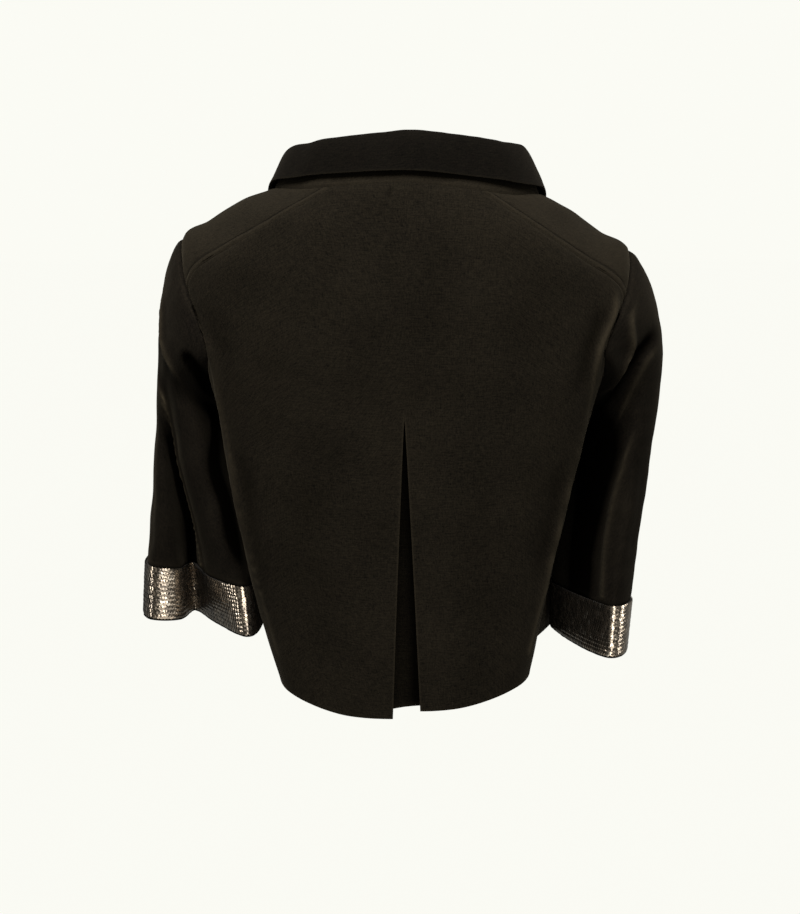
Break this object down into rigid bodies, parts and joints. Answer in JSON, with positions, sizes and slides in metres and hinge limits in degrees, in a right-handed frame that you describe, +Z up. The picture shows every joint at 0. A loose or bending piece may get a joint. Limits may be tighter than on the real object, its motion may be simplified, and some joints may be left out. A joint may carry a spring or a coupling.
{
  "type": "blazer",
  "caption": "Cropped velvet blazer held open as it is worn: stand-away rolled collar, shoulder yokes, inverted pleat at the back and bell sleeves with sequinned cuffs",
  "frame": {"origin": "the foot of the neck: midway between the shoulders at the height of the neckline's side points", "axes": "+Z up along the wearer's neck, -Y out of the wearer's chest, +X towards the wearer's left arm"},
  "size_m": [0.4954, 0.2875, 0.5194],
  "materials": {
    "velvet": "matt cotton velvet, dark brown, close to black in its folds",
    "sequins": "overlapping cupped sequins, bronze to gunmetal, mirror bright at their highlights",
    "binding": "narrow dark folded binding"
  },
  "bodies": {
    "root": {"back_left": "velvet", "front_left": "velvet", "yoke_left": "velvet", "sleeve_left": "velvet", "cuff_left": "sequins", "cuff_binding_left": "binding", "back_right": "velvet", "front_right": "velvet", "yoke_right": "velvet", "sleeve_right": "velvet", "cuff_right": "sequins", "cuff_binding_right": "binding", "pleat_underlay": "velvet", "collar_stand": "velvet", "collar_fall": "velvet"}
  },
  "joints": []
}
